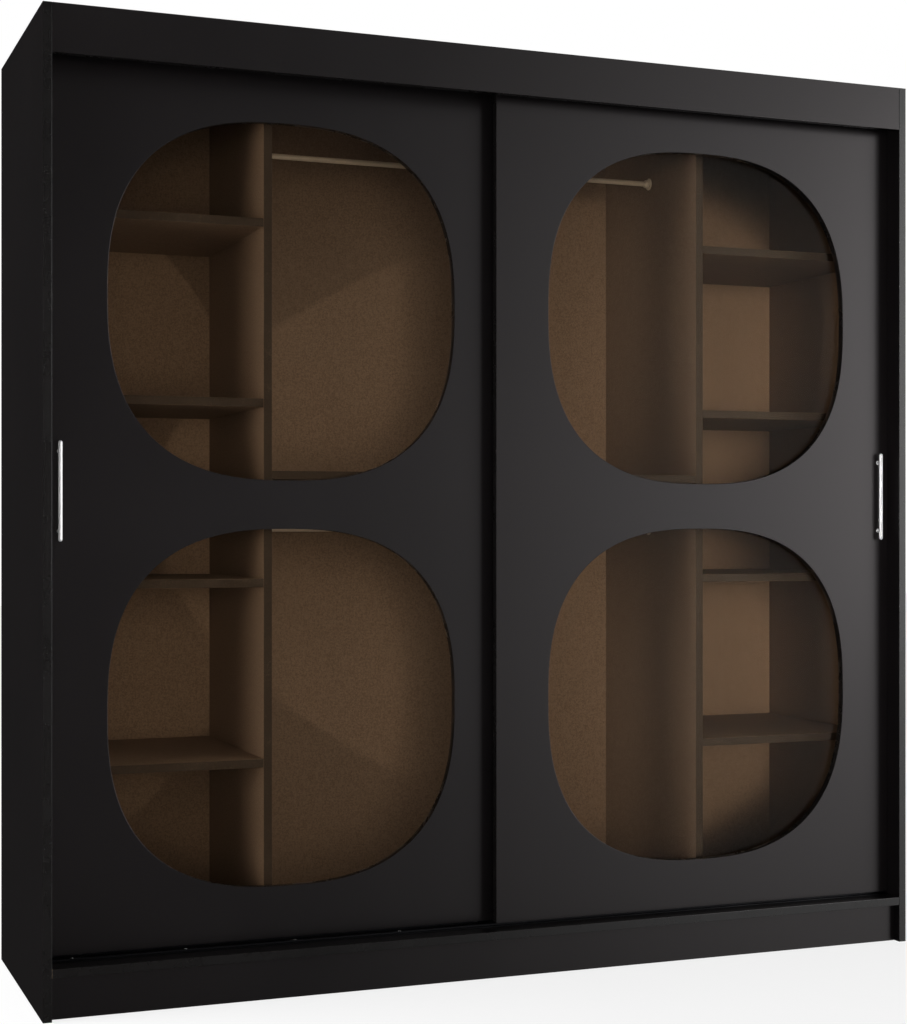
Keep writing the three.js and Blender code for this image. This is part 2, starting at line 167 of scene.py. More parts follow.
def pick_faces(piece, test):
    """In edit mode: selects the faces whose middle and normal pass the test."""
    bpy.ops.mesh.select_mode(type="FACE")
    bpy.ops.mesh.select_all(action="DESELECT")
    shape = bmesh.from_edit_mesh(piece.data)
    for face in shape.faces:
        if test(face.calc_center_median(), face.normal):
            face.select_set(True)
    bmesh.update_edit_mesh(piece.data)


def pick_edges(piece, test):
    """In edit mode: selects the edges whose middle and direction pass the test."""
    bpy.ops.mesh.select_mode(type="EDGE")
    bpy.ops.mesh.select_all(action="DESELECT")
    shape = bmesh.from_edit_mesh(piece.data)
    for edge in shape.edges:
        start, end = (vertex.co for vertex in edge.verts)
        if test((start + end) / 2, (end - start).normalized()):
            edge.select_set(True)
    bmesh.update_edit_mesh(piece.data)


def split_at(piece, axis, places):
    """Cuts new edge rings into a piece, square to an axis, at each place along it."""
    only(piece)
    bpy.ops.object.mode_set(mode="EDIT")
    normal = [float(index == axis) for index in range(3)]
    for place in places:
        bpy.ops.mesh.select_all(action="SELECT")
        bpy.ops.mesh.bisect(plane_co=[place * n for n in normal], plane_no=normal)
    bpy.ops.object.mode_set(mode="OBJECT")


def draw_faces(piece, test, move):
    """Draws the chosen faces out of a piece, or into it."""
    only(piece)
    bpy.ops.object.mode_set(mode="EDIT")
    pick_faces(piece, test)
    bpy.ops.mesh.extrude_region_move(TRANSFORM_OT_translate={"value": move})
    bpy.ops.object.mode_set(mode="OBJECT")


def round_corners(piece, axis, radius, segments=6, where=lambda middle: True):
    """Rounds the edges of a piece that run along an axis."""
    only(piece)
    bpy.ops.object.mode_set(mode="EDIT")
    pick_edges(piece, lambda middle, run: abs(run[axis]) > ALONG and where(middle))
    bpy.ops.mesh.bevel(offset=radius, segments=segments)
    bpy.ops.object.mode_set(mode="OBJECT")


def smooth(piece):
    """Shades a piece smooth, but for its sharp edges."""
    only(piece)
    bpy.ops.object.shade_smooth_by_angle(angle=SMOOTH_ANGLE)


def soften(piece, width=ARRIS, segments=2):
    """Rounds a piece's sharp edges and smooths what is round."""
    only(piece)
    arris = piece.modifiers.new("arris", "BEVEL")
    arris.width = width
    arris.segments = segments
    arris.limit_method = "ANGLE"
    arris.angle_limit = SMOOTH_ANGLE
    bpy.ops.object.modifier_apply(modifier=arris.name)
    smooth(piece)
    for face in piece.data.polygons:
        if max(abs(part) for part in face.normal) > SQUARE:
            face.use_smooth = False
    return piece


def cut(piece, *cutters):
    """Takes each cutter out of a piece, and throws the cutter away."""
    for cutter in cutters:
        only(piece)
        opening = piece.modifiers.new("opening", "BOOLEAN")
        opening.operation = "DIFFERENCE"
        opening.solver = "EXACT"
        opening.object = cutter
        bpy.ops.object.modifier_apply(modifier=opening.name)
        bpy.data.objects.remove(cutter)
    return piece


def circle_rim(filled, sides):
    """In edit mode: a circle of radius 1."""
    fill = "NGON" if filled else "NOTHING"
    bpy.ops.mesh.primitive_circle_add(vertices=sides, radius=1, fill_type=fill)
    bpy.ops.object.mode_set(mode="EDIT")
    bpy.ops.mesh.select_all(action="SELECT")


def window_rim(filled, sides):
    """In edit mode: the windows' outline, a 2 by 2 square with corners rounded till they meet."""
    bpy.ops.mesh.primitive_plane_add(size=2)
    bpy.ops.object.mode_set(mode="EDIT")
    bpy.ops.mesh.select_all(action="SELECT")
    profile = 4 ** (-1 / WINDOW_POWER)  # a bevel's own measure of that exponent
    bpy.ops.mesh.bevel(
        offset=1, offset_type="OFFSET", segments=sides // 4, profile=profile, affect="VERTICES"
    )
    bpy.ops.mesh.remove_doubles(threshold=MERGE)
    if not filled:
        bpy.ops.mesh.select_all(action="SELECT")
        bpy.ops.mesh.delete(type="ONLY_FACE")
        bpy.ops.mesh.select_all(action="SELECT")


def drawn(name, rim, stations, sides, ring=False):
    """A piece drawn out from a rim: half width, half height and depth at each station, along +Z.

    A ring joins its last station to its first. Any other piece is closed at both ends.
    """
    deselect()
    rim(not ring, sides)
    width, height, depth = stations[0]
    bpy.ops.transform.resize(value=(width, height, 1), center_override=(0, 0, 0))
    bpy.ops.transform.translate(value=(0, 0, depth))
    for next_width, next_height, next_depth in stations[1:]:
        if ring:
            bpy.ops.mesh.extrude_edges_move()
        else:
            bpy.ops.mesh.extrude_region_move()
        growth = (next_width / width, next_height / height, 1)
        bpy.ops.transform.resize(value=growth, center_override=(0, 0, 0))
        bpy.ops.transform.translate(value=(0, 0, next_depth - depth))
        width, height, depth = next_width, next_height, next_depth
    if ring:
        bpy.ops.mesh.select_mode(type="EDGE")
        bpy.ops.mesh.select_all(action="DESELECT")
        bpy.ops.mesh.select_non_manifold()
        bpy.ops.mesh.bridge_edge_loops()
    bpy.ops.mesh.select_all(action="SELECT")
    bpy.ops.mesh.normals_make_consistent(inside=False)
    bpy.ops.object.mode_set(mode="OBJECT")
    return call(bpy.context.object, name)


def turned(name, profile, sides=48, ring=False):
    """A round piece about +Z, from its radius and height at each step."""
    stations = [(radius, radius, height) for radius, height in profile]
    return drawn(name, circle_rim, stations, sides, ring)


def copied(piece, name, move=(0, 0, 0), turn=(0, 0, 0)):
    """A copy of a piece with its own mesh, turned about the origin and then moved."""
    twin = piece.copy()
    twin.data = piece.data.copy()
    bpy.context.collection.objects.link(twin)
    call(twin, name)
    return settle(twin, move, turn)


def joined(pieces, name):
    """Makes one object of several loose solids."""
    deselect()
    for piece in pieces:
        piece.select_set(True)
    bpy.context.view_layer.objects.active = pieces[0]
    bpy.ops.object.join()
    return call(bpy.context.object, name)


def discard(*pieces):
    for piece in pieces:
        bpy.data.objects.remove(piece)


# ---------------------------------------------------------------- surface effects


class Net:
    """A tree of shader nodes, with short calls that add and join them."""

    def __init__(self, tree):
        self.tree = tree

    def add(self, kind, **settings):
        node = self.tree.nodes.new(kind)
        for name, value in settings.items():
            setattr(node, name, value)
        return node

    def join(self, source, target):
        self.tree.links.new(source, target)

    def noise(self, vector, scale, detail=3.0, roughness=0.5):
        node = self.add("ShaderNodeTexNoise")
        self.join(vector, node.inputs["Vector"])
        node.inputs["Scale"].default_value = scale
        node.inputs["Detail"].default_value = detail
        node.inputs["Roughness"].default_value = roughness
        return node.outputs["Fac"]

    def stretch(self, vector, scale):
        node = self.add("ShaderNodeMapping")
        self.join(vector, node.inputs["Vector"])
        node.inputs["Scale"].default_value = scale
        return node.outputs["Vector"]

    def ramp(self, value, low, high, to_low=0.0, to_high=1.0):
        """Maps a value's range to another, held at both ends."""
        node = self.add("ShaderNodeMapRange")
        self.join(value, node.inputs["Value"])
        limits = {"From Min": low, "From Max": high, "To Min": to_low, "To Max": to_high}
        for name, number in limits.items():
            node.inputs[name].default_value = number
        return node.outputs["Result"]

    def math(self, operation, first, second):
        node = self.add("ShaderNodeMath", operation=operation)
        for socket, value in zip(node.inputs, (first, second)):
            if isinstance(value, (int, float)):
                socket.default_value = value
            else:
                self.join(value, socket)
        return node.outputs[0]

    def weigh(self, first, first_share, second, second_share):
        """The sum of two values, each times its share."""
        scaled = self.math("MULTIPLY", first, first_share)
        other = self.math("MULTIPLY", second, second_share)
        return self.math("ADD", scaled, other)

    def blend(self, share, first, second):
        """Mixes two colours, each a constant or a socket, by a share."""
        node = self.add("ShaderNodeMix", data_type="RGBA")
        self.join(share, node.inputs["Factor"])
        for socket, colour in ((node.inputs[6], first), (node.inputs[7], second)):
            if isinstance(colour, tuple):
                socket.default_value = (*colour, 1)
            else:
                self.join(colour, socket)
        return node.outputs[2]


def effect(name, outputs):
    """A node group that reads a Vector and puts out the named values."""
    tree = bpy.data.node_groups.new(name, "ShaderNodeTree")
    tree.interface.new_socket("Vector", in_out="INPUT", socket_type="NodeSocketVector")
    for output in outputs:
        tree.interface.new_socket(output, in_out="OUTPUT", socket_type="NodeSocketFloat")
    net = Net(tree)
    vector = net.add("NodeGroupInput").outputs["Vector"]
    return tree, net, vector, net.add("NodeGroupOutput").inputs


def pebble_effect():
    """The fine pearl of a melamine or moulded face: height, cloudy tone and gloss."""
    tree, net, vector, out = effect("pebble", ("Height", "Tone", "Roughness"))
    grain = net.noise(vector, 950, 2)
    swell = net.noise(vector, 260, 2)
    cloud = net.noise(vector, 3.1, 4, 0.6)
    speck = net.noise(vector, 420, 1)
    tone = net.weigh(cloud, 0.7, speck, 0.3)
    net.join(net.ramp(tone, 0.3, 0.7), out["Tone"])
    gloss = net.math("ADD", cloud, net.math("MULTIPLY", swell, 0.3))
    net.join(net.ramp(gloss, 0.4, 0.9), out["Roughness"])
    net.join(net.weigh(grain, 0.6, swell, 0.4), out["Height"])
    return tree


def linen_effect():
    """A printed linen: threads both ways over a fine mesh, with slubs."""
    tree, net, vector, out = effect("linen", ("Height", "Tone", "Slub"))
    upright = net.noise(net.stretch(vector, (560, 560, 90)), 1, 3, 0.6)
    level = net.noise(net.stretch(vector, (90, 90, 560)), 1, 3, 0.6)
    threads = net.weigh(upright, 0.5, level, 0.5)
    mesh = net.noise(vector, 300, 2, 0.6)
    weave = net.weigh(threads, 0.4, mesh, 0.6)
    net.join(threads, out["Height"])
    net.join(net.ramp(weave, 0.38, 0.62), out["Tone"])
    slub = net.noise(net.stretch(vector, (170, 170, 40)), 1, 2)
    net.join(net.ramp(slub, 0.58, 0.85), out["Slub"])
    return tree


def brushed_effect():
    """Fine lines along X, as drawn or brushed metal has."""
    tree, net, vector, out = effect("brushed", ("Height", "Tone"))
    lines = net.noise(net.stretch(vector, (9, 2600, 2600)), 1, 4, 0.65)
    patches = net.noise(vector, 14, 3)
    net.join(lines, out["Height"])
    tone = net.weigh(lines, 0.6, patches, 0.4)
    net.join(net.ramp(tone, 0.35, 0.65), out["Tone"])
    return tree


def wear_effect():
    """Rubbed spots along an edge, and the dust that lies on it."""
    tree, net, vector, out = effect("wear", ("Rub", "Dust"))
    rub = net.math("MULTIPLY", net.noise(vector, 17, 4, 0.7), net.noise(vector, 240, 3, 0.7))
    net.join(net.ramp(rub, 0.3, 0.42), out["Rub"])
    net.join(net.ramp(net.noise(vector, 7, 5, 0.7), 0.45, 0.8), out["Dust"])
    return tree


def smudge_effect():
    """Faint finger marks and wiping streaks on polished metal."""
    tree, net, vector, out = effect("smudge", ("Mark", "Streak"))
    net.join(net.ramp(net.noise(vector, 34, 4, 0.6), 0.4, 0.75), out["Mark"])
    streaks = net.noise(net.stretch(vector, (900, 900, 12)), 1, 3)
    net.join(net.ramp(streaks, 0.35, 0.7), out["Streak"])
    return tree


def flake_effect():
    """Pressed wood chips, as a sawn board shows."""
    tree, net, vector, out = effect("flakes", ("Height", "Tone"))
    cells = net.add("ShaderNodeTexVoronoi", feature="F1")
    net.join(net.stretch(vector, (240, 240, 420)), cells.inputs["Vector"])
    cells.inputs["Scale"].default_value = 1
    fleck = net.noise(vector, 700, 3)
    rough = net.math("ADD", cells.outputs["Distance"], net.math("MULTIPLY", fleck, 0.5))
    net.join(rough, out["Height"])
    shade = net.add("ShaderNodeSeparateColor")
    net.join(cells.outputs["Color"], shade.inputs["Color"])
    net.join(shade.outputs["Red"], out["Tone"])
    return tree


def fibre_effect():
    """The matted fibres and faint mesh of a hardboard's back."""
    tree, net, vector, out = effect("fibres", ("Height", "Tone"))
    first = net.noise(net.stretch(vector, (520, 520, 60)), 1, 4, 0.7)
    second = net.noise(net.stretch(vector, (60, 60, 480)), 1, 4, 0.7)
    stain = net.noise(vector, 5, 4, 0.6)
    mat = net.math("MAXIMUM", first, second)
    net.join(mat, out["Height"])
    tone = net.weigh(mat, 0.7, stain, 0.4)
    net.join(net.ramp(tone, 0.45, 0.75), out["Tone"])
    return tree


PEBBLE = pebble_effect()
LINEN = linen_effect()
BRUSHED = brushed_effect()
WEAR = wear_effect()
SMUDGE = smudge_effect()
FLAKES = flake_effect()
FIBRES = fibre_effect()


# ---------------------------------------------------------------- finishes


class Finish(Net):
    """A new material: its shader, its place on the piece, and the effects laid on it."""

    def __init__(self, name, **settings):
        self.material = bpy.data.materials.new(name)
        self.material.use_nodes = True
        super().__init__(self.material.node_tree)
        self.shader = self.tree.nodes["Principled BSDF"]
        for socket, value in settings.items():
            self.shader.inputs[socket.replace("_", " ")].default_value = value
        place = self.add("ShaderNodeTexCoord").outputs["Object"]
        mapping = self.add("ShaderNodeMapping")
        self.join(place, mapping.inputs["Vector"])
        self.vector = mapping.outputs["Vector"]

    def lay(self, tree):
        """Adds an effect, and gives its outputs."""
        group = self.add("ShaderNodeGroup", node_tree=tree)
        self.join(self.vector, group.inputs["Vector"])
        return group.outputs

    def colour(self, source):
        self.join(source, self.shader.inputs["Base Color"])

    def roughness(self, mask, low, high):
        self.join(self.ramp(mask, 0, 1, low, high), self.shader.inputs["Roughness"])

    def relief(self, height, strength, depth):
        bump = self.add("ShaderNodeBump")
        bump.inputs["Strength"].default_value = strength
        bump.inputs["Distance"].default_value = depth
        self.join(height, bump.inputs["Height"])
        self.join(bump.outputs["Normal"], self.shader.inputs["Normal"])

    def swap(self, share, shader):
        """Puts another shader in place of the material's own, by a share."""
        either = self.add("ShaderNodeMixShader")
        self.join(share, either.inputs[0])
        self.join(self.shader.outputs[0], either.inputs[1])
        self.join(shader.outputs[0], either.inputs[2])
        self.join(either.outputs[0], self.tree.nodes["Material Output"].inputs["Surface"])


def specular(level):
    return {"Specular_IOR_Level": level}


def plain(name, tree, colour, roughness, relief, **settings):
    """A material from one effect. Each aspect has one of its outputs, and two values for it."""
    finish = Finish(name, **settings)
    outputs = finish.lay(tree)
    tone, dark, light = colour
    finish.colour(finish.blend(outputs[tone], dark, light))
    gloss, low, high = roughness
    finish.roughness(outputs[gloss], low, high)
    height, strength, depth = relief
    finish.relief(outputs[height], strength, depth)
    return finish.material


def black_edge():
    """The edge band, a little glossier than the faces, with rubbed spots and a trace of dust."""
    finish = Finish("black_edge", **specular(0.5))
    pebble, wear = finish.lay(PEBBLE), finish.lay(WEAR)
    base = finish.blend(pebble["Tone"], (0.0026, 0.0022, 0.0021), (0.0042, 0.0035, 0.0034))
    finish.colour(finish.blend(wear["Rub"], base, (0.0070, 0.0062, 0.0059)))
    finish.roughness(wear["Dust"], 0.26, 0.36)
    finish.relief(pebble["Height"], 0.1, 0.0001)
    return finish.material


def inner_laminate():
    finish = Finish("inner_laminate", **specular(0.25))
    linen = finish.lay(LINEN)
    base = finish.blend(linen["Tone"], (0.165, 0.130, 0.110), (0.262, 0.210, 0.181))
    finish.colour(finish.blend(linen["Slub"], base, (0.240, 0.195, 0.169)))
    finish.roughness(linen["Tone"], 0.62, 0.5)
    finish.relief(linen["Height"], 0.2, 0.0001)
    return finish.material


def inner_edge():
    finish = Finish("inner_edge", **specular(0.3))
    linen, wear = finish.lay(LINEN), finish.lay(WEAR)
    base = finish.blend(linen["Tone"], (0.024, 0.019, 0.017), (0.036, 0.029, 0.025))
    finish.colour(finish.blend(wear["Rub"], base, (0.070, 0.057, 0.049)))
    finish.roughness(wear["Dust"], 0.45, 0.58)
    finish.relief(linen["Height"], 0.1, 0.0001)
    return finish.material


def back_print():
    """The printed inner face of the back sheets."""
    finish = Finish("back_print", **specular(0.2))
    linen = finish.lay(LINEN)
    base = finish.blend(linen["Tone"], (0.168, 0.133, 0.112), (0.268, 0.215, 0.186))
    finish.colour(finish.blend(linen["Slub"], base, (0.246, 0.199, 0.173)))
    finish.roughness(linen["Tone"], 0.72, 0.6)
    finish.relief(linen["Height"], 0.25, 0.00012)
    return finish.material


BRONZE = (0.84, 0.755, 0.645)


def bronze_glass():
    """Tinted glass. Rays from the lamps pass it straight, so that they light what is behind."""
    finish = Finish("bronze_glass", Transmission_Weight=1.0, Roughness=0.0, IOR=1.12)
    wear = finish.lay(WEAR)
    finish.colour(finish.blend(wear["Dust"], BRONZE, (0.83, 0.74, 0.63)))
    through = finish.add("ShaderNodeBsdfTransparent")
    through.inputs["Color"].default_value = (*BRONZE, 1)
    rays = finish.add("ShaderNodeLightPath")
    finish.swap(rays.outputs["Is Shadow Ray"], through)
    return finish.material


BLACK = plain(
    "black_laminate",
    PEBBLE,
    ("Tone", (0.0026, 0.0021, 0.0022), (0.0038, 0.0031, 0.0032)),
    ("Roughness", 0.28, 0.31),
    ("Height", 0.06, 0.00012),
    Specular_Tint=WARM_GLOSS,
    **specular(0.5),
)
BLACK_EDGE = black_edge()
INNER = inner_laminate()
INNER_EDGE = inner_edge()
PRINT = back_print()
HARDBOARD = plain(
    "raw_hardboard",
    FIBRES,
    ("Tone", (0.115, 0.062, 0.032), (0.235, 0.140, 0.078)),
    ("Tone", 0.85, 0.7),
    ("Height", 0.6, 0.0003),
    **specular(0.2),
)
CHIPBOARD = plain(
    "raw_chipboard",
    FLAKES,
    ("Tone", (0.20, 0.125, 0.067), (0.47, 0.335, 0.20)),
    ("Tone", 0.75, 0.9),
    ("Height", 0.7, 0.0006),
    **specular(0.2),
)
GLASS = bronze_glass()
GLASS_EDGE = plain(
    "glass_edge",
    PEBBLE,
    ("Tone", (0.10, 0.075, 0.055), (0.17, 0.13, 0.10)),
    ("Roughness", 0.3, 0.45),
    ("Height", 0.2, 0.0001),
    **specular(0.5),
)
HANDLE_CHROME = plain(
    "satin_chrome",
    SMUDGE,
    ("Streak", (0.86, 0.85, 0.85), (0.96, 0.95, 0.95)),
    ("Mark", 0.28, 0.38),
    ("Streak", 0.05, 0.00005),
    Metallic=0.75,
)
RAIL_CHROME = plain(
    "rail_chrome",
    SMUDGE,
    ("Mark", (0.93, 0.92, 0.91), (0.84, 0.83, 0.82)),
    ("Mark", 0.34, 0.44),
    ("Streak", 0.03, 0.00004),
    Metallic=0.6,
)
ALUMINIUM = plain(
    "track_aluminium",
    BRUSHED,
    ("Tone", (0.020, 0.020, 0.022), (0.034, 0.034, 0.037)),
    ("Tone", 0.44, 0.34),
    ("Height", 0.2, 0.00005),
    Metallic=1.0,
)
ZINC = plain(
    "zinc_steel",
    SMUDGE,
    ("Mark", (0.55, 0.55, 0.54), (0.40, 0.40, 0.40)),
    ("Mark", 0.28, 0.45),
    ("Streak", 0.1, 0.00005),
    Metallic=1.0,
)
BLACK_PLASTIC = plain(
    "black_plastic",
    PEBBLE,
    ("Tone", (0.010, 0.010, 0.010), (0.019, 0.019, 0.019)),
    ("Roughness", 0.42, 0.58),
    ("Height", 0.25, 0.00012),
    **specular(0.45),
)
NYLON = plain(
    "wheel_nylon",
    PEBBLE,
    ("Tone", (0.034, 0.034, 0.034), (0.052, 0.052, 0.052)),
    ("Roughness", 0.38, 0.5),
    ("Height", 0.25, 0.00012),
    **specular(0.45),
)


def finish_all(piece, material):
    piece.data.materials.clear()
    piece.data.materials.append(material)
    for face in piece.data.polygons:
        face.material_index = 0


def finish_where(piece, material, test):
    """Gives a material to the faces whose middle and normal pass the test."""
    piece.data.materials.append(material)
    index = len(piece.data.materials) - 1
    for face in piece.data.polygons:
        if test(face.center, face.normal):
            face.material_index = index


def fit(piece, body, slot, *nodes):
    """Sets a finished piece on its body, in place of its nodes."""
    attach(piece, body)
    if nodes:
        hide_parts(*nodes)
    return piece


# ---------------------------------------------------------------- screws and nails


def screw_head(name, radius, height):
    """A pan head with a cross cut into it, seated at the origin, facing +Z."""
    profile = [
        (radius * 0.92, 0),
        (radius, height * 0.25),
        (radius * 0.96, height * 0.55),
        (radius * 0.80, height * 0.85),
        (radius * 0.5, height),
    ]
    head = turned(name, profile, sides=24)
    half, arm = radius * 0.11, radius * 0.55
    floor = height * 0.45
    slots = [
        block("slot", (-arm, -half, floor), (arm, half, height * 2)),
        block("slot", (-half, -arm, floor), (half, arm, height * 2)),
    ]
    cut(head, *slots)
    smooth(head)
    finish_all(head, ZINC)
    return head


def nail_head(name, radius, height):
    """A thin domed nail head, seated at the origin, facing +Z."""
    profile = [(radius, 0), (radius, height * 0.4), (radius * 0.7, height)]
    head = turned(name, profile, sides=12)
    finish_all(head, ZINC)
    return head


def fixings(name, head, places, turn, body, slot):
    """One group of alike screws or nails, each at its own place."""
    copies = [copied(head, f"{name}_{count}", place, turn) for count, place in enumerate(places)]
    return fit(joined(copies, name), body, slot)


FACE_UP = (0, 0, 0)
FACE_DOWN = (math.pi, 0, 0)
FACE_BACK = (-math.pi / 2, 0, 0)
FACE_LEFT = (0, -math.pi / 2, 0)
FACE_RIGHT = (0, math.pi / 2, 0)


def spread(start, end, count):
    """Evenly spaced places from start to end."""
    return [start + (end - start) * step / (count - 1) for step in range(count)]


# ---------------------------------------------------------------- carcass

CARCASS = "carcass"
BAY_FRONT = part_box("partition_left")[0][1]
FLOOR_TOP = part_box("bottom_panel")[1][2]
TOP_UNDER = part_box("top_panel")[0][2]


def rim_faces(axis):
    """A test for the faces on a board's narrow edges: all but its two broad faces."""
    return lambda middle, normal: abs(normal[axis]) < FACING


def board(name, thin, face, edge):
    """A board with softly rounded edges; thin is the axis of its thickness."""
    low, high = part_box(name)
    piece = soften(block(name + "_board", low, high))
    finish_all(piece, face)
    finish_where(piece, edge, rim_faces(thin))
    return piece


def side_panel(side):
    """Black outside and in front of the bays, and lined like the bays behind that."""
    name = "side_panel_" + side
    low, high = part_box(name)
    inward = 1 if side == "left" else -1
    piece = soften(block(name + "_board", low, high))
    split_at(piece, 1, [BAY_FRONT])
    split_at(piece, 2, [FLOOR_TOP, TOP_UNDER])
    finish_all(piece, BLACK)
    finish_where(piece, BLACK_EDGE, rim_faces(0))
    finish_where(
        piece,
        INNER,
        lambda middle, normal: normal.x * inward > FACING
        and middle.y > BAY_FRONT
        and FLOOR_TOP < middle.z < TOP_UNDER,
    )
    finish_where(piece, CHIPBOARD, lambda middle, normal: normal.z < -FACING or normal.y > FACING)
    fit(piece, CARCASS, "black_laminate", name)


def level_panel(name, inward):
    """The top or bottom panel: black, and lined where it closes the bays."""
    low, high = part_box(name)
    piece = soften(block(name + "_board", low, high))
    split_at(piece, 1, [BAY_FRONT])
    finish_all(piece, BLACK)
    finish_where(piece, BLACK_EDGE, rim_faces(2))
    finish_where(
        piece,
        INNER,
        lambda middle, normal: normal.z * inward > FACING and middle.y > BAY_FRONT,
    )
    finish_where(
        piece, CHIPBOARD, lambda middle, normal: normal.y > FACING or abs(normal.x) > FACING
    )
    fit(piece, CARCASS, "black_laminate", name)


def back_sheet(place, columns):
    """A printed hardboard sheet, held by a row of nails along each side."""
    name = "back_sheet_" + place
    low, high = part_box(name)
    face = high[1] - NAIL_HEAD
    piece = soften(block(name + "_panel", low, (high[0], face, high[2])), THIN_ARRIS, 1)
    finish_all(piece, PRINT)
    finish_where(piece, HARDBOARD, lambda middle, normal: normal.y > -FACING)
    fit(piece, CARCASS, "back_sheet", name)
    across = spread(low[0] + NAIL_MARGIN, high[0] - NAIL_MARGIN, columns)
    upward = spread(low[2] + NAIL_MARGIN, high[2] - NAIL_MARGIN, NAIL_ROWS)
    places = [(x, face, z) for x in (across[0], across[-1]) for z in upward]
    places += [(x, face, z) for x in across[1:-1] for z in (upward[0], upward[-1])]
    nail = nail_head("nail", NAIL_RADIUS, NAIL_HEAD)
    fixings(name + "_nails", nail, places, FACE_BACK, CARCASS, "track_aluminium")
    discard(nail)


def carcass():
    for side in SIDES:
        side_panel(side)
    level_panel("top_panel", -1)
    level_panel("bottom_panel", 1)
    for name in ("fascia", "plinth_front", "plinth_rear"):
        fit(board(name, 1, BLACK, BLACK_EDGE), CARCASS, "black_laminate", name)
    for side in SIDES:
        name = "plinth_brace_" + side
        fit(board(name, 0, BLACK, CHIPBOARD), CARCASS, "black_laminate", name)
        name = "partition_" + side
        fit(board(name, 0, INNER, INNER_EDGE), CARCASS, "inner_laminate", name)
    shelves = [f"shelf_{side}_{level}" for side in SIDES for level in SHELF_LEVELS]
    for name in shelves + ["divider_shelf"]:
        fit(board(name, 2, INNER, INNER_EDGE), CARCASS, "inner_laminate", name)
    for place, columns in NAIL_COLUMNS.items():
        back_sheet(place, columns)


# ---------------------------------------------------------------- hanging rails


def hanging_rail(name):
    """A chrome tube whose ends sit in two screwed sockets."""
    low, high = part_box(name)
    radius = (high[2] - low[2]) / 2
    length = high[0] - low[0]
    centre = middle_of(low, high)
    wall, lip = 0.0012, 0.0004
    profile = [
        (radius - wall, 0),
        (radius - lip, 0),
        (radius, lip),
        (radius, length - lip),
        (radius - lip, length),
        (radius - wall, length),
    ]
    tube = turned(name + "_tube", profile, sides=64, ring=True)
    settle(tube, (low[0], centre[1], centre[2]), FACE_RIGHT)
    smooth(tube)
    finish_all(tube, RAIL_CHROME)
    fit(tube, CARCASS, "rail_chrome", name)
    for side, turn in (("left", FACE_RIGHT), ("right", FACE_LEFT)):
        rail_socket(f"{name}_socket_{side}", turn)


def rail_socket(name, turn):
    """A cup for a rail's end, on a flange held by screws round it."""
    low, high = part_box(name)
    flange_radius = (high[2] - low[2]) / 2
    depth = high[0] - low[0]
    bore, collar = 0.0063, 0.0093
    centre_hole = 0.002
    profile = [
        (bore, SOCKET_FLANGE),
        (centre_hole, SOCKET_FLANGE),
        (centre_hole, 0),
        (flange_radius, 0),
        (flange_radius, SOCKET_FLANGE * 0.6),
        (flange_radius - 0.0006, SOCKET_FLANGE * 0.86),
        (flange_radius - 0.0014, SOCKET_FLANGE),
        (collar + 0.001, SOCKET_FLANGE),
        (collar, SOCKET_FLANGE + 0.001),
        (collar, depth - 0.0008),
        (collar - 0.0008, depth),
        (bore, depth),
    ]
    cup = turned(name + "_cup", profile, ring=True)
    seat_x = low[0] if turn == FACE_RIGHT else high[0]
    _, centre_y, centre_z = middle_of(low, high)
    settle(cup, (seat_x, centre_y, centre_z), turn)
    smooth(cup)
    finish_all(cup, RAIL_CHROME)
    fit(cup, CARCASS, "rail_chrome", name)
    inward = 1 if turn == FACE_RIGHT else -1
    ring = (flange_radius + collar) / 2
    places = []
    for count in range(SOCKET_SCREWS):
        angle = math.radians(90 + 360 / SOCKET_SCREWS * count)
        place = (
            seat_x + inward * SOCKET_FLANGE,
            centre_y + ring * math.cos(angle),
            centre_z + ring * math.sin(angle),
        )
        places.append(place)
    head = screw_head("rail_screw", *RAIL_SCREW)
    fixings(name + "_screws", head, places, turn, CARCASS, "rail_chrome")
    discard(head)


# ---------------------------------------------------------------- tracks


def track_screws(track, depth, level, turn):
    """A row of screws along a track."""
    low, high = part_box(track)
    row = spread(low[0] + TRACK_SCREW_INSET, high[0] - TRACK_SCREW_INSET, TRACK_SCREWS)
    head = screw_head("track_screw", *TRACK_SCREW)
    places = [(x, depth, level) for x in row]
    fixings(track + "_screws", head, places, turn, CARCASS, "track_aluminium")
    discard(head)


def bottom_track():
    """A flat aluminium strip with an upright rib under each door's wheels."""
    low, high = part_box("bottom_track")
    top = low[2] + RAIL_BASE
    piece = block("bottom_track_strip", low, (high[0], high[1], top))
    ribs = [middle_of(*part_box(door + "_wheel_left"))[1] for door in DOORS]
    edges = [rib + side * RIB_WIDTH / 2 for rib in ribs for side in (-1, 1)]
    split_at(piece, 1, edges)
    draw_faces(
        piece,
        lambda middle, normal: normal.z > FACING
        and any(abs(middle.y - rib) < RIB_WIDTH / 2 for rib in ribs),
        (0, 0, high[2] - top),
    )
    soften(piece, FINE_ARRIS)
    finish_all(piece, ALUMINIUM)
    fit(piece, CARCASS, "track_aluminium", "bottom_track")
    track_screws("bottom_track", (ribs[0] + ribs[1]) / 2, top, FACE_UP)


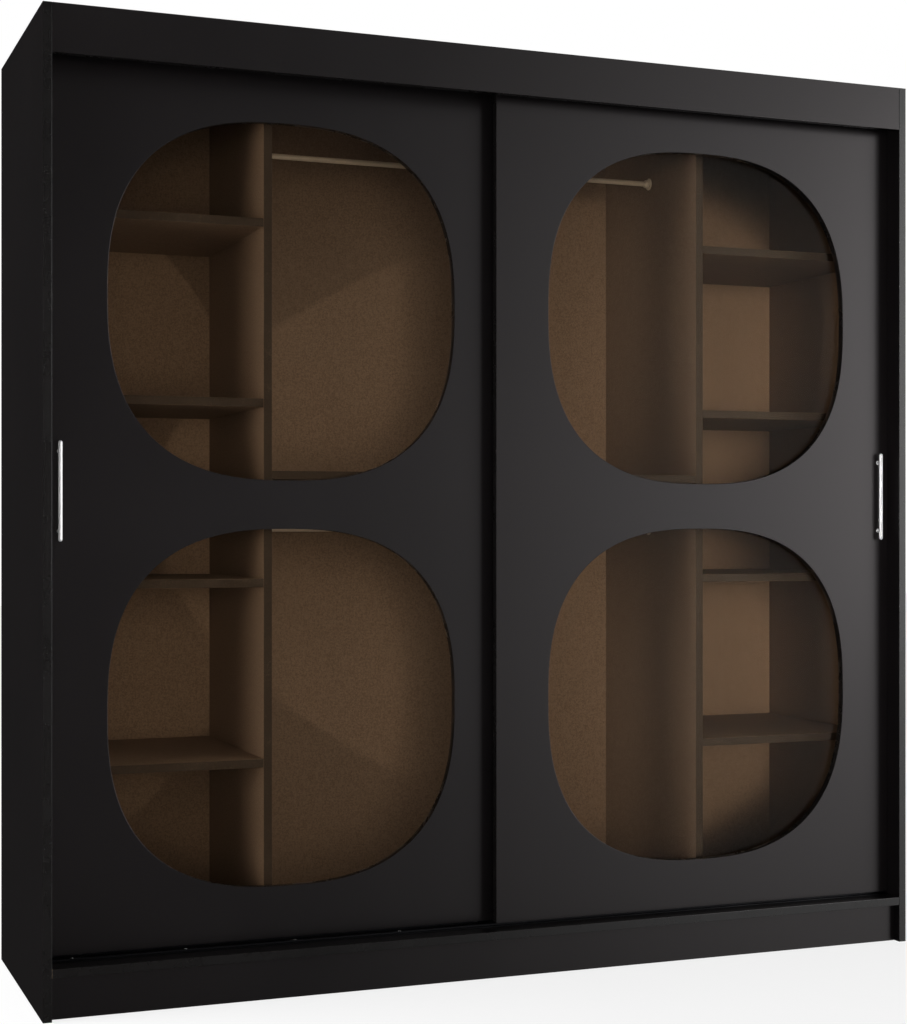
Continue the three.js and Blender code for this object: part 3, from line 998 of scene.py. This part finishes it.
def top_track():
    """A strip under the top panel, with two channels for the doors' guides."""
    low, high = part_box("top_track")
    under = high[2] - TRACK_BASE
    piece = block("top_track_profile", (low[0], low[1], under), high)
    fins = []
    for door in DOORS:
        centre = middle_of(*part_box(door + "_guide_left"))[1]
        fins += [centre + side * (CHANNEL_WIDTH + TRACK_FIN) / 2 for side in (-1, 1)]
    split_at(piece, 1, [fin + side * TRACK_FIN / 2 for fin in fins for side in (-1, 1)])
    draw_faces(
        piece,
        lambda middle, normal: normal.z < -FACING
        and any(abs(middle.y - fin) < TRACK_FIN / 2 for fin in fins),
        (0, 0, low[2] - under),
    )
    soften(piece, FINE_ARRIS)
    finish_all(piece, ALUMINIUM)
    fit(piece, CARCASS, "track_aluminium", "top_track")
    track_screws("top_track", (fins[1] + fins[2]) / 2, under, FACE_DOWN)


# ---------------------------------------------------------------- doors


def window_plug(name, pane, growth, front, back):
    """A flat plate or cutter with the outline of a pane's box, grown all round."""
    low, high = pane
    half_width = (high[0] - low[0]) / 2 + growth
    half_height = (high[2] - low[2]) / 2 + growth
    stations = [(half_width, half_height, 0), (half_width, half_height, back - front)]
    piece = drawn(name, window_rim, stations, 4 * WINDOW_STEPS)
    centre_x, _, centre_z = middle_of(low, high)
    return settle(piece, (centre_x, front, centre_z), FACE_BACK)


def door_board(door):
    """A board with two soft-cornered windows, and a pocket in its back for each roller."""
    low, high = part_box(door + "_board")
    piece = block(door + "_panel", low, high)
    for level in LEVELS:
        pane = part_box(f"{door}_pane_{level}")
        cut(piece, window_plug("opening", pane, -PANE_OVERLAP, low[1] - PAST, high[1] + PAST))
    for side in SIDES:
        plate_low, plate_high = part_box(f"{door}_roller_{side}")
        pocket_low = (plate_low[0] + PLATE_MARGIN - SEAT, plate_low[1] - SEAT, low[2] - PAST)
        pocket_high = (
            plate_high[0] - PLATE_MARGIN + SEAT,
            high[1] + PAST,
            plate_high[2] - PLATE_MARGIN + SEAT,
        )
        cut(piece, block("pocket", pocket_low, pocket_high))
    soften(piece)
    finish_all(piece, BLACK)
    finish_where(piece, BLACK_EDGE, rim_faces(1))
    fit(piece, door, "black_laminate", door + "_board")


def window(door, level):
    """A tinted pane with a ground rim, and the bead that holds it from behind."""
    name = f"{door}_pane_{level}"
    low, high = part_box(name)
    centre_x, _, centre_z = middle_of(low, high)
    half_width, half_height = (high[0] - low[0]) / 2, (high[2] - low[2]) / 2
    pane = window_plug(name + "_glass", (low, high), 0, low[1], high[1])
    soften(pane, PANE_ARRIS, 1)
    finish_all(pane, GLASS)
    finish_where(pane, GLASS_EDGE, rim_faces(1))
    fit(pane, door, "bronze_glass", name)

    name = f"{door}_bead_{level}"
    bead_low, bead_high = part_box(name)
    outer = ((bead_high[0] - bead_low[0]) / 2, (bead_high[2] - bead_low[2]) / 2)
    depth = bead_high[1] - bead_low[1]
    lip_depth = high[1] + SEAT - bead_low[1]
    rim = (half_width + SEAT, half_height + SEAT)
    cover = 0.008
    lip = (half_width - cover, half_height - cover)
    stations = [
        (*rim, 0),
        (*outer, 0),
        (*outer, depth),
        (*lip, depth),
        (*lip, lip_depth),
        (*rim, lip_depth),
    ]
    bead = drawn(name + "_strip", window_rim, stations, 4 * WINDOW_STEPS, ring=True)
    settle(bead, (centre_x, bead_low[1], centre_z), FACE_BACK)
    soften(bead, FINE_ARRIS, 1)
    finish_all(bead, BLACK_PLASTIC)
    fit(bead, door, "black_plastic", name)


def handle(door):
    """A round bar with domed ends, on two posts."""
    name = door + "_handle_bar"
    low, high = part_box(name)
    radius = (high[0] - low[0]) / 2
    length = high[2] - low[2]
    first_angle, last_angle, steps = 12, 90, 7
    dome = [
        (radius * math.sin(math.radians(angle)), radius * (1 - math.cos(math.radians(angle))))
        for angle in spread(first_angle, last_angle, steps)
    ]
    profile = [(reach, rise - dome[0][1]) for reach, rise in dome]
    profile += [(reach, length - rise + dome[0][1]) for reach, rise in reversed(dome)]
    bar = turned(name + "_rod", profile)
    settle(bar, (*middle_of(low, high)[:2], low[2]))
    smooth(bar)
    finish_all(bar, HANDLE_CHROME)
    fit(bar, door, "handle_chrome", name)
    for level in ("lower", "upper"):
        name = f"{door}_handle_post_{level}"
        low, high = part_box(name)
        foot_radius = (high[0] - low[0]) / 2
        length = high[1] - low[1]
        stem = 0.003
        profile = [
            (stem * 0.9, 0),
            (stem, 0.0003),
            (stem, length - 0.0014),
            (stem + 0.0003, length - 0.0010),
            (foot_radius - 0.0003, length - 0.0008),
            (foot_radius, length - 0.0005),
            (foot_radius, length),
        ]
        post = turned(name + "_stem", profile, sides=32)
        settle(post, front_of(low, high), FACE_BACK)
        smooth(post)
        finish_all(post, HANDLE_CHROME)
        fit(post, door, "handle_chrome", name)


def roller(door, side):
    """A moulded housing with a wheel slot and an axle, on a screwed plate."""
    name = f"{door}_roller_{side}"
    low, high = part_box(name)
    wheel_low, wheel_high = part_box(f"{door}_wheel_{side}")
    centre_x = middle_of(low, high)[0]
    axle_height = middle_of(wheel_low, wheel_high)[2]
    reach = (wheel_high[0] - wheel_low[0]) / 2 + WHEEL_SIDE_ROOM
    back = high[1] - PLATE
    housing = block(
        name + "_housing",
        (low[0] + PLATE_MARGIN, low[1], low[2]),
        (high[0] - PLATE_MARGIN, back + PLATE / 2, high[2] - PLATE_MARGIN),
    )
    round_corners(housing, 1, HOUSING_CORNER, 4, lambda middle: middle.z > axle_height)
    slot_low = (centre_x - reach, wheel_low[1] - WHEEL_SIDE_ROOM, low[2] - PAST)
    slot_high = (centre_x + reach, wheel_high[1] + WHEEL_SIDE_ROOM, axle_height + reach)
    cut(housing, block("slot", slot_low, slot_high))
    soften(housing, FINE_ARRIS)
    plate = block(name + "_plate", (low[0], back, low[2]), high)
    round_corners(plate, 1, PLATE_CORNER, 6, lambda middle: middle.z > axle_height)
    soften(plate, THIN_ARRIS)
    pin_ends = [(AXLE_RADIUS, 0), (AXLE_RADIUS, slot_high[1] - slot_low[1])]
    pin = turned(name + "_pin", pin_ends, sides=32)
    settle(pin, (centre_x, slot_low[1], axle_height), FACE_BACK)
    for part in (housing, plate):
        finish_all(part, BLACK_PLASTIC)
    finish_all(pin, ZINC)
    piece = joined([housing, plate, pin], name + "_housing")
    fit(piece, door, "black_plastic", name)
    inset, lower_inset, upper_inset = PLATE_MARGIN / 2, 0.009, 0.012
    places = [
        (x, high[1] - ROLLER_SCREW[1], z)
        for x in (low[0] + inset, high[0] - inset)
        for z in (low[2] + lower_inset, high[2] - upper_inset)
    ]
    head = screw_head("roller_screw", *ROLLER_SCREW)
    fixings(name + "_screws", head, places, FACE_BACK, door, "track_aluminium")
    discard(head)


def wheel(door, side):
    """A grooved nylon wheel with a hub, a thin web and six holes."""
    name = f"{door}_wheel_{side}"
    low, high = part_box(name)
    radius = (high[0] - low[0]) / 2
    width = high[1] - low[1]
    middle = width / 2
    groove = RIB_WIDTH / 2 + RIB_PLAY
    hub, rim, dish, slope, lip = 0.0052, 0.0115, 0.0009, 0.0003, 0.0005
    near = [
        (WHEEL_BORE, 0),
        (hub, 0),
        (hub + slope, dish),
        (rim - slope, dish),
        (rim, 0),
        (radius - lip, 0),
        (radius, lip),
        (radius, middle - groove - lip),
        (TREAD_RADIUS, middle - groove),
    ]
    profile = near + [(reach, width - height) for reach, height in reversed(near)]
    piece = turned(name + "_disc", profile, sides=64, ring=True)
    pitch, hole = 0.0084, 0.0017
    for count in range(WHEEL_HOLES):
        angle = math.radians(360 / WHEEL_HOLES * count)
        drill = turned("drill", [(hole, -middle), (hole, width + middle)], sides=16)
        settle(drill, (pitch * math.cos(angle), pitch * math.sin(angle), 0))
        cut(piece, drill)
    settle(piece, front_of(low, high), FACE_BACK)
    smooth(piece)
    finish_all(piece, NYLON)
    fit(piece, name + "_body", "wheel_plastic", name)


def top_guide(door, side):
    """A moulded foot on the door's top edge, and a tongue that runs in the track."""
    name = f"{door}_guide_{side}"
    low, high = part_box(name)
    centre_x, centre_y = middle_of(low, high)[:2]
    foot_top = low[2] + GUIDE_FOOT
    foot = block("foot", low, (high[0], high[1], foot_top))
    round_corners(foot, 2, GUIDE_CORNER)
    soften(foot, GUIDE_ARRIS)
    tongue = block(
        "tongue",
        (centre_x - TONGUE_LENGTH / 2, centre_y - TONGUE_WIDTH / 2, foot_top - TONGUE_ROOT),
        (centre_x + TONGUE_LENGTH / 2, centre_y + TONGUE_WIDTH / 2, high[2]),
    )
    round_corners(tongue, 2, TONGUE_CORNER)
    soften(tongue, TONGUE_ARRIS)
    for part in (foot, tongue):
        finish_all(part, BLACK_PLASTIC)
    fit(joined([foot, tongue], name + "_moulding"), door, "black_plastic", name)
    reach = TONGUE_LENGTH / 2 + GUIDE_SCREW_OFFSET
    places = [(centre_x + end * reach, centre_y, foot_top) for end in (-1, 1)]
    head = screw_head("guide_screw", *GUIDE_SCREW)
    fixings(name + "_screws", head, places, FACE_UP, door, "track_aluminium")
    discard(head)


def sliding_door(door):
    door_board(door)
    for level in LEVELS:
        window(door, level)
    handle(door)
    for side in SIDES:
        roller(door, side)
        wheel(door, side)
        top_guide(door, side)


# ---------------------------------------------------------------- studio

FLOOR_SIZE = 40
FLOOR_GLOW = 0.8  # share of plain white in what the camera sees of the floor

# The wall of light that glossy faces mirror. Its rims are soft, between two parts of a direction.
WALL_LEVEL = 1.75
WALL_LEFT_RIM = (0.37, 0.48)
WALL_LOWER_RIM = (-0.30, -0.08)
WALL_UPPER_RIM = (0.08, 0.62)
WALL_FOOT_LEVEL = 0.15  # share of its light left under the lower rim
FRONT_RIM = (-0.4, -0.1)  # where the faint light around the wall falls off to the back
FRONT_LEVEL, BACK_LEVEL = 0.06, 0.02
SOFT_GREY = (0.30, 0.30, 0.305)
WHITE = (1.0, 1.0, 1.0)

MIDDLE = (0.2, -0.3, 1.0)
REAR_MIDDLE = (0, 0.3, 1.0)
# name, place, target, width, height, radiance, seen in mirrors, spread in degrees
LAMPS = (
    ("key_light", (4.1, -3.1, 1.7), MIDDLE, 1.8, 2.6, 2.6, True, 180),
    ("top_light", (0.3, -3.4, 4.3), MIDDLE, 4.0, 1.6, 0.2, True, 180),
    ("front_fill", (-1.3, -4.5, 1.05), (-1.3, 0, 1.0), 1.6, 1.8, 2.0, False, 50),
    ("right_fill", (-0.3, -3.8, 1.1), (1.0, 0.2, 1.0), 0.7, 1.6, 1.8, False, 25),
    ("partition_fill", (-2.6, -3.6, 1.1), (0.44, 0, 1.0), 0.7, 1.6, 0.4, False, 20),
    ("left_strip", (-4.6, -2.2, 1.1), (-0.95, -0.3, 1.0), 1.4, 2.4, 6.0, True, 180),
    ("side_fill", (-4.5, 0.2, 1.8), (-1, 0, 1.0), 2.0, 2.0, 22.0, False, 180),
    ("rear_fill_left", (-2.8, 3.6, 2.6), REAR_MIDDLE, 2.0, 2.0, 4.0, False, 180),
    ("rear_fill_right", (2.8, 3.6, 2.6), REAR_MIDDLE, 2.0, 2.0, 4.0, False, 180),
)


def floor():
    """A wide matt floor, near white to the camera and left out of mirrors."""
    deselect()
    bpy.ops.mesh.primitive_plane_add(size=FLOOR_SIZE, location=(0, 0, 0))
    ground = call(bpy.context.object, "studio_floor")
    finish = Finish("pale_floor", **specular(0.1))
    pebble = finish.lay(PEBBLE)
    finish.colour(finish.blend(pebble["Tone"], (0.80, 0.80, 0.80), (0.83, 0.83, 0.83)))
    finish.shader.inputs["Roughness"].default_value = 0.9
    lit = finish.add("ShaderNodeEmission")
    rays = finish.add("ShaderNodeLightPath")
    finish.swap(finish.math("MULTIPLY", rays.outputs["Is Camera Ray"], FLOOR_GLOW), lit)
    ground.data.materials.append(finish.material)
    ground.visible_glossy = False
    ground.visible_transmission = False


def aim(lamp, target):
    """Turns a lamp's beam to a target."""
    direction = [b - a for a, b in zip(lamp.location, target)]
    flat = math.hypot(direction[0], direction[1])
    pitch = math.atan2(flat, -direction[2])
    lamp.rotation_euler = (pitch, 0, math.atan2(direction[1], direction[0]) - math.pi / 2)


def soft_light(name, place, target, width, height, radiance, glossy, spread):
    """A rectangular diffuser of a given radiance, with its beam held to a spread in degrees."""
    data = bpy.data.lights.new(name, "AREA")
    data.shape = "RECTANGLE"
    data.size, data.size_y = width, height
    data.energy = radiance * math.pi * width * height
    data.spread = math.radians(spread)
    lamp = bpy.data.objects.new(name, data)
    bpy.context.scene.collection.objects.link(lamp)
    lamp.location = place
    aim(lamp, target)
    lamp.visible_glossy = glossy
    lamp.visible_transmission = glossy
    lamp.visible_camera = False


def world():
    """White to the camera, soft grey to matt faces, and a wall of light to glossy ones."""
    surround = bpy.data.worlds.new("studio")
    surround.use_nodes = True
    net = Net(surround.node_tree)
    background = surround.node_tree.nodes["Background"]
    way = net.add("ShaderNodeSeparateXYZ")
    net.join(net.add("ShaderNodeTexCoord").outputs["Generated"], way.inputs[0])
    across, forward, upward = way.outputs["X"], way.outputs["Y"], way.outputs["Z"]
    brightness = net.ramp(across, *WALL_LEFT_RIM, 0.0, WALL_LEVEL)
    foot = net.ramp(upward, *WALL_LOWER_RIM, WALL_FOOT_LEVEL, 1.0)
    head = net.ramp(upward, *WALL_UPPER_RIM, 1.0, 0.0)
    wall = net.math("MULTIPLY", brightness, net.math("MULTIPLY", foot, head))
    faint = net.ramp(forward, *FRONT_RIM, FRONT_LEVEL, BACK_LEVEL)
    level = net.math("ADD", wall, faint)
    mirrored = net.add("ShaderNodeCombineColor")
    for channel in mirrored.inputs:
        net.join(level, channel)
    rays = net.add("ShaderNodeLightPath").outputs
    unseen = net.blend(rays["Is Glossy Ray"], SOFT_GREY, mirrored.outputs[0])
    net.join(net.blend(rays["Is Camera Ray"], unseen, WHITE), background.inputs["Color"])
    # Sampled as a lamp, the wall of light would light matt faces too.
    surround.cycles.sampling_method = "NONE"
    bpy.context.scene.world = surround


def camera():
    data = bpy.data.cameras.new("camera")
    data.sensor_width = 36
    data.lens = 65.94
    data.shift_x = -0.00747
    data.shift_y = 0.01633
    eye = bpy.data.objects.new("camera", data)
    bpy.context.scene.collection.objects.link(eye)
    eye.location = (-1.58294, -4.00648, 0.96753)
    eye.rotation_euler = (math.radians(90), 0, math.radians(-21.5))
    bpy.context.scene.camera = eye


def studio():
    world()
    floor()
    camera()
    for lamp in LAMPS:
        soft_light(*lamp)
    view = bpy.context.scene.view_settings
    view.view_transform = "Standard"
    view.look = "None"


studio()
carcass()
for rail in ("upper_rail", "lower_rail"):
    hanging_rail(rail)
bottom_track()
top_track()
for leaf in DOORS:
    sliding_door(leaf)
